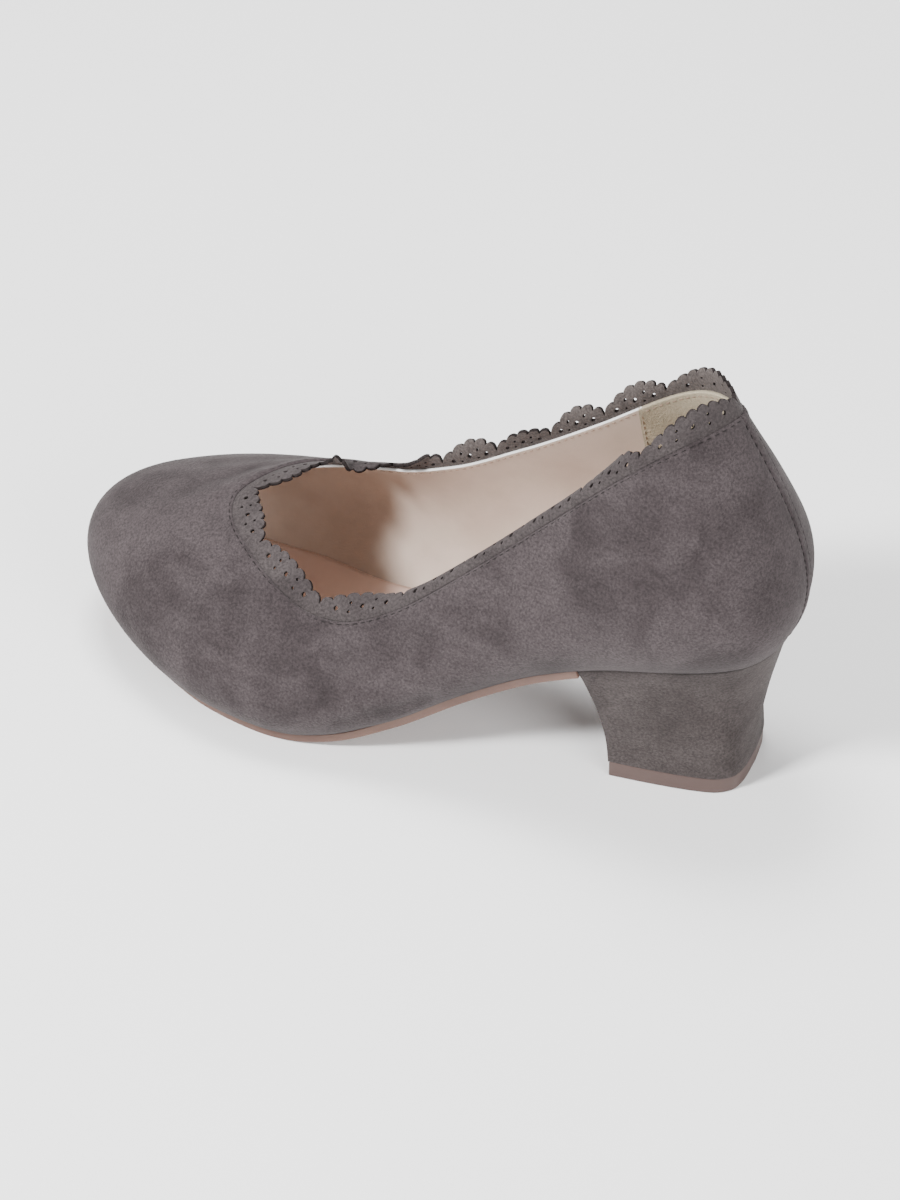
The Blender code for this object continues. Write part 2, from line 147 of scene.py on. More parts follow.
STATION_COLUMNS = (
    "feather_along", "feather_side", "facing",
    "collar_along", "collar_side", "back_share", "instep_share",
    "rise_lean", "rise_reach", "set_lean", "set_reach", "trim_turn",
)
STATIONS = (
    ("back",          0.006,  0.00,  180, 0.078,  0.00, 1.01, 0.00, 30, 0.34, 28, 0.42,  -5),
    ("heel lateral",  0.042,  0.48,  140, 0.104,  0.29, 1.01, 0.00, 40, 0.38, 24, 0.42,   0),
    ("seat lateral",  0.150,  0.66,  100, 0.176,  0.53, 0.75, 0.26, 48, 0.38, 16, 0.42,  10),
    ("waist lateral", 0.300,  0.69,   92, 0.300,  0.57, 0.25, 0.65, 50, 0.38, 20, 0.40, 165),
    ("shank lateral", 0.440,  0.80,   90, 0.445,  0.70, 0.00, 0.78, 50, 0.38, 26, 0.38, 190),
    ("joint lateral", 0.590,  0.95,   82, 0.575,  0.78, 0.00, 0.74, 54, 0.40, 36, 0.38,   5),
    ("ball lateral",  0.705,  0.91,   66, 0.665,  0.64, 0.00, 0.85, 56, 0.43, 52, 0.38,  -5),
    ("toe lateral",   0.830,  0.62,   46, 0.722,  0.42, 0.00, 0.95, 56, 0.46, 64, 0.38,  -5),
    ("toe corner",    0.925,  0.20,   22, 0.757,  0.20, 0.00, 0.99, 56, 0.48, 70, 0.38,  -8),
    ("toe",           0.962, -0.26,    0, 0.768, -0.04, 0.00, 1.02, 54, 0.50, 72, 0.38, -12),
    ("toe inner",     0.948, -0.66,  -25, 0.748, -0.25, 0.00, 1.06, 54, 0.48, 70, 0.38,  -2),
    ("toe medial",    0.875, -0.92,  -48, 0.708, -0.46, 0.00, 1.09, 56, 0.46, 64, 0.38,  -5),
    ("ball medial",   0.745, -1.00,  -70, 0.655, -0.63, 0.00, 1.07, 56, 0.43, 54, 0.38, -20),
    ("joint medial",  0.620, -0.85,  -84, 0.585, -0.71, 0.00, 1.02, 54, 0.40, 38, 0.38, -35),
    ("arch medial",   0.450, -0.57,  -90, 0.450, -0.62, 0.10, 0.85, 52, 0.38, 24, 0.38, -55),
    ("waist medial",  0.300, -0.56,  -92, 0.300, -0.55, 0.35, 0.57, 50, 0.38, 20, 0.40, -45),
    ("seat medial",   0.150, -0.62, -100, 0.176, -0.51, 0.75, 0.20, 50, 0.38, 16, 0.42, -30),
    ("heel medial",   0.042, -0.46, -140, 0.106, -0.29, 0.96, 0.00, 40, 0.38, 24, 0.42, -12),
)
BOTTOM_COLUMNS = ("along", "heel_share", "spring_share")
BOTTOM = (
    (0.00, 1.090, 0.00),
    (0.08, 1.060, 0.00),
    (0.20, 0.970, 0.00),
    (0.30, 0.800, 0.00),
    (0.40, 0.540, 0.00),
    (0.50, 0.235, 0.00),
    (0.58, 0.060, 0.00),
    (0.64, 0.006, 0.00),
    (0.67, 0.000, 0.00),
    (0.75, 0.000, 0.00),
    (0.80, 0.000, 0.08),
    (0.90, 0.000, 0.46),
    (1.00, 0.000, 1.00),
)

OUTLINE_PLACES = 720
SUEDE_GRID = (560, 70)
SUEDE_THICKNESS = 0.0009
FOLD_LIFT = 0.0003
FOLD_ROLL = 0.0004
FOLD_ROLL_BELOW = 0.0012
FOLD_ROLL_REACH = 0.0011
TURNED_ROLL = 0.0002
TURNED_REACH = 0.0010
SEAM_RIDGE = 0.0004
SEAM_REACH = 0.0017
SEAM_LINE = 0.0004
SEAM_LINE_DEPTH = 0.0002
SEAM_PLACES = 0.8
COLUMNS_CROWD = 0.72
ROWS_CROWD = 0.55
WAVINESS = 0.00028
WAVES_PER_METRE = 42
# Painted shade: darkness per metre of crease depth in the creases' troughs, and a thin dark line of this
# width and darkness along the lower edge
CREASE_SHADE = 500
EDGE_LINE = 0.0006
EDGE_SHADE = 0.70

# The suede's closed section: place on it, and shares up the wall, through the suede, of the fold's lift and
# of the relief that shows outside
SUEDE_SECTION = (
    (0.00, 0, 0.00, 0.0, 1.0),
    (0.80, 1, 0.00, 0.0, 1.0),
    (0.83, 1, 0.45, 1.0, 0.5),
    (0.86, 1, 1.00, 0.3, 0.0),
    (1.00, 0, 1.00, 0.0, 0.0),
)

# Creases of the vamp, left by drawing it over the last: ends as places round the last and shares of the
# way up the wall, width and depth in metres; a negative depth is a ridge
CREASES = (
    (4.70, 0.23, 4.00, 0.17, 0.0034, 0.00060),
    (4.50, 0.10, 3.80, 0.09, 0.0030, -0.00035),
    (8.70, 0.86, 10.20, 0.96, 0.0028, -0.00045),
    (9.20, 0.79, 10.50, 0.91, 0.0030, 0.00045),
    (10.10, 0.70, 11.10, 0.90, 0.0034, 0.00040),
    (7.60, 0.97, 8.60, 0.88, 0.0026, 0.00025),
    (6.90, 0.50, 6.50, 0.88, 0.0050, 0.00035),
    (6.20, 0.45, 5.80, 0.86, 0.0050, -0.00035),
    (8.00, 0.45, 7.60, 0.80, 0.0055, -0.00035),
    (9.00, 0.40, 9.10, 0.74, 0.0050, 0.00030),
    (5.30, 0.25, 4.90, 0.60, 0.0050, 0.00035),
    (2.90, 0.12, 2.40, 0.26, 0.0045, 0.00035),
    (1.30, 0.10, 1.70, 0.30, 0.0050, 0.00030),
)

# Places where the nap is rubbed dark: place round the last, share up the wall, width in metres, darkness
RUBS = (
    (4.35, 0.19, 0.0050, 0.45), (4.75, 0.22, 0.0030, 0.25), (4.05, 0.17, 0.0035, 0.30),
    (6.20, 0.78, 0.0060, 0.22), (7.00, 0.70, 0.0070, 0.18), (5.50, 0.62, 0.0060, 0.20),
    (4.80, 0.78, 0.0048, 0.28), (4.05, 0.76, 0.0060, 0.20), (9.30, 0.79, 0.0050, 0.25),
    (8.90, 0.68, 0.0050, 0.15), (2.95, 0.22, 0.0060, 0.25), (1.60, 0.62, 0.0070, 0.18),
    (2.50, 0.45, 0.0065, 0.16), (3.40, 0.50, 0.0060, 0.14), (11.60, 0.60, 0.0070, 0.20),
    (13.20, 0.45, 0.0070, 0.18), (15.60, 0.50, 0.0075, 0.18), (10.30, 0.55, 0.0060, 0.18),
)


def steady(x, xs, ys):
    """Monotone cubic through the points (xs, ys), read at x; flat where neighbours turn back."""
    xs = np.asarray(xs, float)
    ys = np.asarray(ys, float)
    step = np.diff(xs)
    slope = np.diff(ys) / step
    tangent = np.zeros(len(xs))
    tangent[0] = slope[0]
    tangent[-1] = slope[-1]
    for i in range(1, len(xs) - 1):
        if slope[i - 1] * slope[i] > 0:
            before = 2 * step[i] + step[i - 1]
            after = step[i] + 2 * step[i - 1]
            tangent[i] = (before + after) / (before / slope[i - 1] + after / slope[i])
    k = np.clip(np.searchsorted(xs, x, side="right") - 1, 0, len(step) - 1)
    f = np.clip((x - xs[k]) / step[k], 0, 1)
    rise = f * (1 - f) ** 2 * tangent[k] - f * f * (1 - f) * tangent[k + 1]
    return (1 - f * f * (3 - 2 * f)) * ys[k] + f * f * (3 - 2 * f) * ys[k + 1] + rise * step[k]


def closed_curve(values, t):
    """Periodic cubic spline through values at 0, 1, 2, ..., read at the places t."""
    values = np.asarray(values, float)
    n = len(values)
    one = np.eye(n)
    system = 4 * one + np.roll(one, 1, axis=0) + np.roll(one, -1, axis=0)
    second = np.roll(values, 1, axis=0) - 2 * values + np.roll(values, -1, axis=0)
    bend = np.linalg.solve(system, 6 * second)
    t = np.asarray(t, float) % n
    i = np.floor(t).astype(int) % n
    j = (i + 1) % n
    f = (t - np.floor(t))[:, None]
    g = 1 - f
    return g * values[i] + f * values[j] + ((g ** 3 - g) * bend[i] + (f ** 3 - f) * bend[j]) / 6


def underside(x):
    """Height of the last's underside, where upper meets sole or heel, at the length x."""
    table = dict(zip(BOTTOM_COLUMNS, np.array(BOTTOM).T))
    along = np.asarray(x, float) / LENGTH
    heel = steady(along, table["along"], table["heel_share"])
    toe = steady(along, table["along"], table["spring_share"])
    return SOLE_THICKNESS + HEEL_HEIGHT * heel + TOE_SPRING * toe


def stations(t):
    """Every column of the station table at the places t around the last."""
    table = np.array([row[1:] for row in STATIONS], float)
    n = len(table)
    facing = STATION_COLUMNS.index("facing")
    table[:, facing] -= 180 - 360 * np.arange(n) / n
    values = closed_curve(table, t)
    values[:, facing] += 180 - 360 * (np.asarray(t, float) % n) / n
    return dict(zip(STATION_COLUMNS, values.T))


def unit(vectors):
    """The vectors made one long."""
    return vectors / np.linalg.norm(vectors, axis=-1, keepdims=True)


def feather_and_collar(t):
    """Feather point, two handles, collar point and outward direction of the wall's curves at t."""
    row = stations(t)
    facing = np.radians(row["facing"])
    out = np.column_stack([np.cos(facing), np.sin(facing), np.zeros(len(facing))])
    up = np.array([0.0, 0.0, 1.0])
    feather_x = row["feather_along"] * LENGTH
    collar_x = row["collar_along"] * LENGTH
    height = row["back_share"] * BACK_HEIGHT + row["instep_share"] * INSTEP_HEIGHT
    feather = np.column_stack([feather_x, row["feather_side"] * BALL_WIDTH / 2, underside(feather_x)])
    collar = np.column_stack([collar_x, row["collar_side"] * BALL_WIDTH / 2, underside(collar_x) + height])
    rise = np.radians(row["rise_lean"])[:, None]
    rest = np.radians(row["set_lean"])[:, None]
    span = np.linalg.norm(collar - feather, axis=1, keepdims=True)
    leave = out * np.sin(rise) + up * np.cos(rise)
    arrive = up * np.cos(rest) - out * np.sin(rest)
    first = feather + leave * span * row["rise_reach"][:, None]
    second = collar - arrive * span * row["set_reach"][:, None]
    return feather, first, second, collar, out


def wall(t, v):
    """Points of the upper's outer face, one for each place t round the last and share v of the way up."""
    feather, first, second, collar, _ = feather_and_collar(t)
    v = np.asarray(v, float)[:, None]
    g = 1 - v
    return g ** 3 * feather + 3 * v * g ** 2 * first + 3 * v ** 2 * g * second + v ** 3 * collar


def wall_frames(t, v):
    """Points, outward normals and upward tangents of the outer face."""
    small = 1e-3
    around = wall(t - small, v) - wall(t + small, v)
    up = wall(t, np.minimum(v + small, 1)) - wall(t, np.maximum(v - small, 0))
    return wall(t, v), -unit(np.cross(up, around)), unit(up)


def frame_shift():
    """From the last's own place to the frame's: the upper's box is where the frame holds it."""
    t, v = np.meshgrid(np.linspace(0, len(STATIONS), OUTLINE_PLACES), np.linspace(0, 1, 30))
    spots = wall(t.ravel(), v.ravel())
    low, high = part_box("upper")
    middle = (np.array(low) + np.array(high)) / 2 - (spots.min(axis=0) + spots.max(axis=0)) / 2
    return np.array([middle[0], middle[1], 0.0])


TO_FRAME = frame_shift()


def lay_leather(columns, rows, place, turned=False, bands=()):
    """A cut of leather: a grid of cells laid at place(u, w), with u and w from 0 to 1; ends that meet are
    joined. Each band is a stretch of w, from and to, with its own finish.
    """
    cut = bmesh.new()
    bmesh.ops.create_grid(cut, x_segments=columns, y_segments=rows, size=0.5)
    for face in cut.faces:
        middle = face.calc_center_median().y + 0.5
        for low, high, finish in bands:
            if low < middle < high:
                face.material_index = finish
    share = np.array([vertex.co[:2] for vertex in cut.verts]) + 0.5
    for vertex, spot in zip(cut.verts, place(share[:, 0], share[:, 1]) + TO_FRAME):
        vertex.co = spot
    bmesh.ops.remove_doubles(cut, verts=cut.verts[:], dist=1e-6)
    bmesh.ops.dissolve_degenerate(cut, edges=cut.edges[:], dist=1e-7)
    if turned:
        bmesh.ops.reverse_faces(cut, faces=cut.faces[:])
    return cut


def dress(name, cut, finishes, slot, *nodes):
    """The finished piece: it rides on the shoe, takes the finishes given and stands for its solids; slot is
    not used.
    """
    mesh = bpy.data.meshes.new(name)
    cut.to_mesh(mesh)
    cut.free()
    mesh.shade_smooth()
    for finish in finishes:
        mesh.materials.append(finish)
    made = bpy.data.objects.new(name, mesh)
    bpy.context.scene.collection.objects.link(made)
    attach(made, "root")
    if nodes:
        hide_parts(*nodes)
    return made


def crease_depth(spots):
    """How far the listed creases push each spot in."""
    table = np.array(CREASES)
    starts = wall(table[:, 0], table[:, 1])
    ends = wall(table[:, 2], table[:, 3])
    push = np.zeros(len(spots))
    for start, end, (width, depth) in zip(starts, ends, table[:, 4:]):
        run = end - start
        share = np.clip((spots - start) @ run / (run @ run), 0, 1)
        away = np.linalg.norm(spots - start - share[:, None] * run, axis=1)
        push += depth * np.exp(-((away / width) ** 2))
    return push


def suede_waviness(spots):
    """The slight unevenness of leather pulled over the last."""
    return np.array([noise.noise(Vector(spot) * WAVES_PER_METRE) for spot in spots]) * WAVINESS


def paint_rubs_and_shade(cut):
    """How dark each spot is, kept on the mesh for its finish: rubs, and painted shade in creases and at the
    lower edge.
    """
    shade = cut.verts.layers.float.new("shade")
    spots = np.array([vertex.co[:] for vertex in cut.verts]) - TO_FRAME
    table = np.array(RUBS)
    # Painted shade in the creases' troughs; the rubs below are the suede's own marks
    dark = np.clip(crease_depth(spots), 0, 1) * CREASE_SHADE
    for middle, (width, darkness) in zip(wall(table[:, 0], table[:, 1]), table[:, 2:]):
        dark += darkness * np.exp(-((np.linalg.norm(spots - middle, axis=1) / width) ** 2))
    # Painted shade: a thin dark line along the lower edge, where the upper meets the sole and heel
    above_edge = spots[:, 2] - underside(spots[:, 0])
    dark += EDGE_SHADE * np.exp(-((above_edge / EDGE_LINE) ** 2))
    for vertex, darkness in zip(cut.verts, dark):
        vertex[shade] = darkness


def suede_place(u, w):
    """Outer face, folded top edge and inner face of the suede; columns crowd at the back seam."""
    section = np.array(SUEDE_SECTION)
    x, depth, lift, outside = (np.interp(w, section[:, 0], column) for column in section[:, 1:].T)
    t = len(STATIONS) * (u - COLUMNS_CROWD * np.sin(2 * np.pi * u) / (2 * np.pi))
    v = x - ROWS_CROWD * np.sin(2 * np.pi * x) / (2 * np.pi)
    spots, normal, up = wall_frames(t, v)
    feather, _, _, collar, _ = feather_and_collar(t)
    span = np.linalg.norm(collar - feather, axis=1)
    below = span * (1 - v)
    roll = FOLD_ROLL * np.exp(-(((below - FOLD_ROLL_BELOW) / FOLD_ROLL_REACH) ** 2))
    turned = TURNED_ROLL * np.exp(-(((span * v - TURNED_REACH) / TURNED_REACH) ** 2))
    beside = np.abs(spots[:, 1])
    at_back = np.exp(-((np.minimum(t, len(STATIONS) - t) / SEAM_PLACES) ** 4))
    ridge = SEAM_RIDGE * np.exp(-((beside / SEAM_REACH) ** 4))
    lines = SEAM_LINE_DEPTH * np.exp(-(((beside - SEAM_REACH - SEAM_LINE) / SEAM_LINE) ** 2))
    relief = roll + turned + at_back * (ridge - lines) - crease_depth(spots) + suede_waviness(spots)
    out_by = outside * relief - depth * SUEDE_THICKNESS
    return spots + normal * out_by[:, None] + up * (lift * FOLD_LIFT)[:, None]


def suede_finish(name, dark, light, nap=0.26, sheen=0.10, grain_depth=0.36):
    """Brushed suede: clouds where the nap lies this way or that, a fine grain, rubs, painted shade and a soft
    pile.
    """
    finish, tree, shader = new_finish(
        name, 0.95, Sheen_Weight=sheen, Sheen_Roughness=0.5, Specular_IOR_Level=0.10,
        Sheen_Tint=(0.88, 0.83, 0.81, 1.0),
    )
    place = join_nodes(tree, "ShaderNodeTexCoord").outputs["Object"]
    clouds = join_nodes(tree, "ShaderNodeTexNoise", {
        "Vector": place, "Scale": 48, "Detail": 4, "Roughness": 0.50, "Distortion": 0.7,
    })
    strokes_place = join_nodes(tree, "ShaderNodeMapping", {
        "Vector": place, "Rotation": (0.5, 0.35, 0.4), "Scale": (70, 240, 190),
    })
    strokes = join_nodes(tree, "ShaderNodeTexNoise", {
        "Vector": strokes_place.outputs["Vector"], "Scale": 1, "Detail": 3, "Roughness": 0.5,
    })
    grain = join_nodes(tree, "ShaderNodeTexNoise", {
        "Vector": place, "Scale": 1200, "Detail": 2, "Roughness": 0.7,
    })
    cloud_share = join_nodes(tree, "ShaderNodeMapRange", {
        "Value": clouds.outputs["Fac"], "From Min": 0.30, "From Max": 0.62,
    }, interpolation_type="SMOOTHSTEP")
    stroke_share = join_nodes(tree, "ShaderNodeMapRange", {
        "Value": strokes.outputs["Fac"], "From Min": 0.28, "From Max": 0.72,
    }, interpolation_type="SMOOTHSTEP")
    nap_lie = join_nodes(tree, "ShaderNodeMix", {
        "Factor": nap, "A": cloud_share.outputs["Result"], "B": stroke_share.outputs["Result"],
    }, data_type="FLOAT")
    tone = join_nodes(tree, "ShaderNodeMix", {
        "Factor": nap_lie.outputs["Result"], "A": (*dark, 1), "B": (*light, 1),
    }, data_type="RGBA")
    # Darkens by the mesh's attribute: the suede's rubs, and shade painted in creases and along the upper's
    # lower edge and the heel's top edge
    rubs_and_painted_shade = join_nodes(tree, "ShaderNodeMapRange", {
        "Value": join_nodes(tree, "ShaderNodeAttribute", attribute_name="shade").outputs["Fac"],
        "From Min": 0.0, "From Max": 1.0, "To Min": 1.0, "To Max": 0.40,
    })
    speckle = join_nodes(tree, "ShaderNodeMapRange", {
        "Value": grain.outputs["Fac"], "From Min": 0.30, "From Max": 0.70,
        "To Min": 1 - grain_depth, "To Max": 1 + grain_depth,
    })
    depth = join_nodes(tree, "ShaderNodeMath", {
        0: rubs_and_painted_shade.outputs["Result"], 1: speckle.outputs["Result"],
    }, operation="MULTIPLY")
    grained = join_nodes(tree, "ShaderNodeVectorMath", {
        0: tone.outputs["Result"], 1: depth.outputs["Value"],
    }, operation="MULTIPLY")
    tree.links.new(grained.outputs["Vector"], shader.inputs["Base Color"])
    pile = join_nodes(tree, "ShaderNodeBump", {
        "Height": grain.outputs["Fac"], "Distance": 0.00030, "Strength": 0.9,
    })
    felt = join_nodes(tree, "ShaderNodeBump", {
        "Height": strokes.outputs["Fac"], "Distance": 0.0005, "Strength": 0.35,
        "Normal": pile.outputs["Normal"],
    })
    tree.links.new(felt.outputs["Normal"], shader.inputs["Normal"])
    return finish


upper_suede = suede_finish("upper_suede", (0.029, 0.0228, 0.0240), (0.052, 0.0424, 0.0440))
suede_cut = lay_leather(*SUEDE_GRID, suede_place, turned=True)
paint_rubs_and_shade(suede_cut)
dress("upper_suede", suede_cut, [upper_suede], "upper", "upper")


# Lining: thin cream leather inside the vamp and quarters. Its raw upper edge is white and stands a little
# above the collar's seam, behind the trim; round the heel it gives way to the heel grip.
WALL = 0.0022
LINING_GRID = (330, 60)
LINING_THICKNESS = 0.0009
LINING_STAND = 0.0020
GRIP_FROM = 2.40
GRIP_TO = 15.45
RAW_BAND = (0.598, 0.652, 1)

# A lining's section: place on it, and shares up the wall, of the stand above the seam and through the lining
EDGE_SECTION = (
    (0.000, 0.02, 0.00, 0.00),
    (0.550, 1.00, 0.00, 0.00),
    (0.600, 1.00, 0.85, 0.00),
    (0.617, 1.00, 1.00, 0.12),
    (0.633, 1.00, 1.00, 0.88),
    (0.650, 1.00, 0.85, 1.00),
    (0.700, 1.00, 0.00, 1.00),
    (1.000, 0.02, 0.00, 1.00),
)


def edge_section(w, thickness, proud):
    """Share up the wall, stand above the seam and depth of a lining: up inside, over, down outside."""
    section = np.array(EDGE_SECTION)
    share, stand, through = (np.interp(w, section[:, 0], column) for column in section[:, 1:].T)
    return share, stand * LINING_STAND, WALL + proud - through * thickness


def lining_place(u, w):
    """The lining's section, u round the shoe from the grip's outer end by the toe to its inner end."""
    t = GRIP_FROM + (GRIP_TO - GRIP_FROM) * u
    share, stand, depth = edge_section(w, LINING_THICKNESS, 0.0)
    spots, normal, up = wall_frames(t, share)
    return spots - normal * depth[:, None] + up * stand[:, None]


def leather_finish(name, dark, light, roughness, grain=900, coat=0.0):
    """Smooth shoe leather: faint clouds, a fine grain and a low gloss."""
    finish, tree, shader = new_finish(
        name, roughness, Specular_IOR_Level=0.35, Coat_Weight=coat, Coat_Roughness=0.45,
    )
    place = join_nodes(tree, "ShaderNodeTexCoord").outputs["Object"]
    clouds = join_nodes(tree, "ShaderNodeTexNoise", {
        "Vector": place, "Scale": 30, "Detail": 5, "Roughness": 0.6,
    })
    share = join_nodes(tree, "ShaderNodeMapRange", {
        "Value": clouds.outputs["Fac"], "From Min": 0.35, "From Max": 0.65,
    }, interpolation_type="SMOOTHSTEP")
    tone = join_nodes(tree, "ShaderNodeMix", {
        "Factor": share.outputs["Result"], "A": (*dark, 1), "B": (*light, 1),
    }, data_type="RGBA")
    tree.links.new(tone.outputs["Result"], shader.inputs["Base Color"])
    pores = join_nodes(tree, "ShaderNodeTexVoronoi", {
        "Vector": place, "Scale": grain, "Randomness": 1.0,
    }, feature="DISTANCE_TO_EDGE")
    grainy = join_nodes(tree, "ShaderNodeBump", {
        "Height": pores.outputs["Distance"], "Distance": 0.00012, "Strength": 0.35,
    })
    soft = join_nodes(tree, "ShaderNodeBump", {
        "Height": clouds.outputs["Fac"], "Distance": 0.0010, "Strength": 0.25,
        "Normal": grainy.outputs["Normal"],
    })
    tree.links.new(soft.outputs["Normal"], shader.inputs["Normal"])
    return finish


lining_leather = leather_finish("lining_leather", (0.50, 0.398, 0.330), (0.58, 0.474, 0.400), 0.52)
raw_edge = leather_finish("raw_edge", (0.82, 0.81, 0.79), (0.90, 0.89, 0.88), 0.85, grain=2500)
lining_cut = lay_leather(*LINING_GRID, lining_place, bands=[RAW_BAND])
dress("lining", lining_cut, [lining_leather, raw_edge], "insole", "upper")


# Heel grip: a soft pocket of olive-beige suede round the heel, lapped over the lining's two ends and sewn
# down along them and along its top. It keeps the foot from slipping.
GRIP_GRID = (150, 60)
GRIP_LAP = 0.03
GRIP_PROUD = 0.0003


def grip_place(u, w):
    """The grip's section, u round the heel from the inner end to the outer and w along the section."""
    t = GRIP_TO - GRIP_LAP + (len(STATIONS) - GRIP_TO + GRIP_FROM + 2 * GRIP_LAP) * u
    share, stand, depth = edge_section(w, LINING_THICKNESS + GRIP_PROUD, GRIP_PROUD)
    spots, normal, up = wall_frames(t % len(STATIONS), share)
    return spots - normal * depth[:, None] + up * stand[:, None]


grip_suede = suede_finish(
    "grip_suede", (0.345, 0.295, 0.210), (0.410, 0.355, 0.262), nap=0.2, grain_depth=0.14,
)
dress("heel_grip", lay_leather(*GRIP_GRID, grip_place), [grip_suede], "insole")


# Sock: smooth pinkish leather over the whole insole, lying on the turned margin of the upper from heel to
# toe, a little hollow under the heel and the ball.
INSOLE_LIFT = 0.0040
SOCK_GRID = (150, 44)
SOCK_THICKNESS = 0.0022
SOCK_GAP = 0.0003
LOW_WALL = 0.35

# The sock's hollows: depth in metres, middle and reach as shares of the length
HOLLOWS = (
    (0.0012, 0.14, 0.10),
    (0.0006, 0.70, 0.12),
)


def side_curve(points, x, sign):
    """Side coordinate at the lengths x of the outline's half that lies towards sign."""
    back = np.argmin(points[:, 0])
    front = np.argmax(points[:, 0])
    loop = np.roll(points, -back, axis=0)
    turn = (front - back) % len(points)
    halves = (loop[:turn + 1], np.concatenate([loop[turn:], loop[:1]])[::-1])
    half = max(halves, key=lambda h: sign * h[:, 1].mean())
    return np.interp(x, half[:, 0], half[:, 1])


def inside_outline(lift, gap):
    """Outline of the upper's inside at a height above the last's underside, less a gap."""
    t = np.linspace(0, len(STATIONS), OUTLINE_PLACES, endpoint=False)
    v = np.linspace(0, LOW_WALL, 36)
    outline = []
    places, shares = np.meshgrid(t, v, indexing="ij")
    spots, normal, _ = wall_frames(places.ravel(), shares.ravel())
    spots = (spots - normal * (WALL + gap)).reshape(len(t), len(v), 3)
    for column in spots:
        height = column[:, 2] - underside(column[:, 0])
        outline.append([np.interp(lift, height, column[:, k]) for k in (0, 1)])
    return np.array(outline)


def across(outline, u, w, back_end, rounded_back):
    """A place on a foot-shaped plan: u from back to toe, w from the inner side to the outer side."""
    front_end = outline[:, 0].max()
    turn = 0.5 - 0.5 * np.cos(np.pi * u) if rounded_back else np.sin(0.5 * np.pi * u)
    x = back_end + (front_end - back_end) * turn
    low = side_curve(outline, x, -1)
    high = side_curve(outline, x, 1)
    return x, low + (high - low) * w


sock_outline = inside_outline(INSOLE_LIFT, SOCK_GAP)


def sock_place(u, w):
    """The sock's upper face, u from back to toe and w from the inner side to the outer."""
    x, y = across(sock_outline, u, w, sock_outline[:, 0].min(), True)
    along = x / LENGTH
    hollow = sum(depth * np.exp(-(((along - middle) / reach) ** 2)) for depth, middle, reach in HOLLOWS)
    dish = hollow * np.clip(1 - (2 * w - 1) ** 2, 0, 1)
    return np.column_stack([x, y, underside(x) + INSOLE_LIFT - dish])


sock_leather = leather_finish("sock_leather", (0.70, 0.510, 0.430), (0.77, 0.580, 0.500), 0.50)
sock = dress("sock", lay_leather(*SOCK_GRID, sock_place), [sock_leather], "insole", "insole")
sock_body = sock.modifiers.new("body", "SOLIDIFY")
sock_body.thickness = SOCK_THICKNESS
sock_body.offset = -1


# Collar trim: one strip of the same suede, cut in long waves whose edge is pinked into small scallops and
# punched with holes, its lower edge caught in the collar's seam. It rolls in at the outer waist and sways
# in and out along the inner side.
TRIM_THICKNESS = 0.0012
TRIM_SEAT = 0.0034
TRIM_PEAK = 0.0100
TRIM_NOTCH = 0.0052
TRIM_BEHIND = 0.0004
WAVE_ROUNDNESS = 0.75
WAVE_POINTS = 401
SCALLOP_WIDTH = 0.0045
SCALLOP_DEPTH = 0.0015
SCALLOP_ROUNDNESS = 0.95
SCALLOP_SEAT = 0.65
SCALLOP_POINTS = 8
WAVE_GAP = 0.0001
BIG_HOLE = 0.00080
SMALL_HOLE = 0.00050
HOLE_POINTS = 10
TRIM_STEP = 0.0009

# A wave's holes: shares along the wave and of its height there, radius
HOLES = (
    (0.20, 0.53, BIG_HOLE),
    (0.50, 0.53, BIG_HOLE),
    (0.80, 0.53, BIG_HOLE),
    (0.35, 0.38, SMALL_HOLE),
    (0.35, 0.70, SMALL_HOLE),
    (0.65, 0.38, SMALL_HOLE),
    (0.65, 0.70, SMALL_HOLE),
)

# Where the waves meet, as shares of the collar's length from the back seam along the outer side
NOTCHES = (
    0.000, 0.091, 0.149, 0.207, 0.264, 0.322, 0.392, 0.465,
    0.529, 0.589, 0.647, 0.690, 0.741, 0.791, 0.841, 0.898,
)

# How far the strip sways in from the last's own turn: place round the last, degrees
SWAY = (
    (0.00, 0), (2.10, 2), (4.20, 0), (5.00, 4), (5.80, 10), (6.95, -4), (8.20, 8), (9.40, 0), (10.50, 8),
    (11.40, 0), (11.76, -46), (12.02, 6), (12.30, 86), (12.90, 94), (13.30, 58), (13.60, -4), (14.00, -6),
    (14.20, 44), (14.45, 52), (14.75, 0), (15.40, -12), (16.50, -8), (18.00, 0),
)

collar_places = np.linspace(0, len(STATIONS), 1441)
collar_steps = np.diff(wall(collar_places, np.ones(len(collar_places))), axis=0)
collar_run = np.concatenate([[0], np.cumsum(np.linalg.norm(collar_steps, axis=1))])


def wave_height(share):
    """Height of the trim's edge, before it is pinked, at a share of the way along a wave."""
    return TRIM_NOTCH + (TRIM_PEAK - TRIM_NOTCH) * np.sin(np.pi * share) ** WAVE_ROUNDNESS


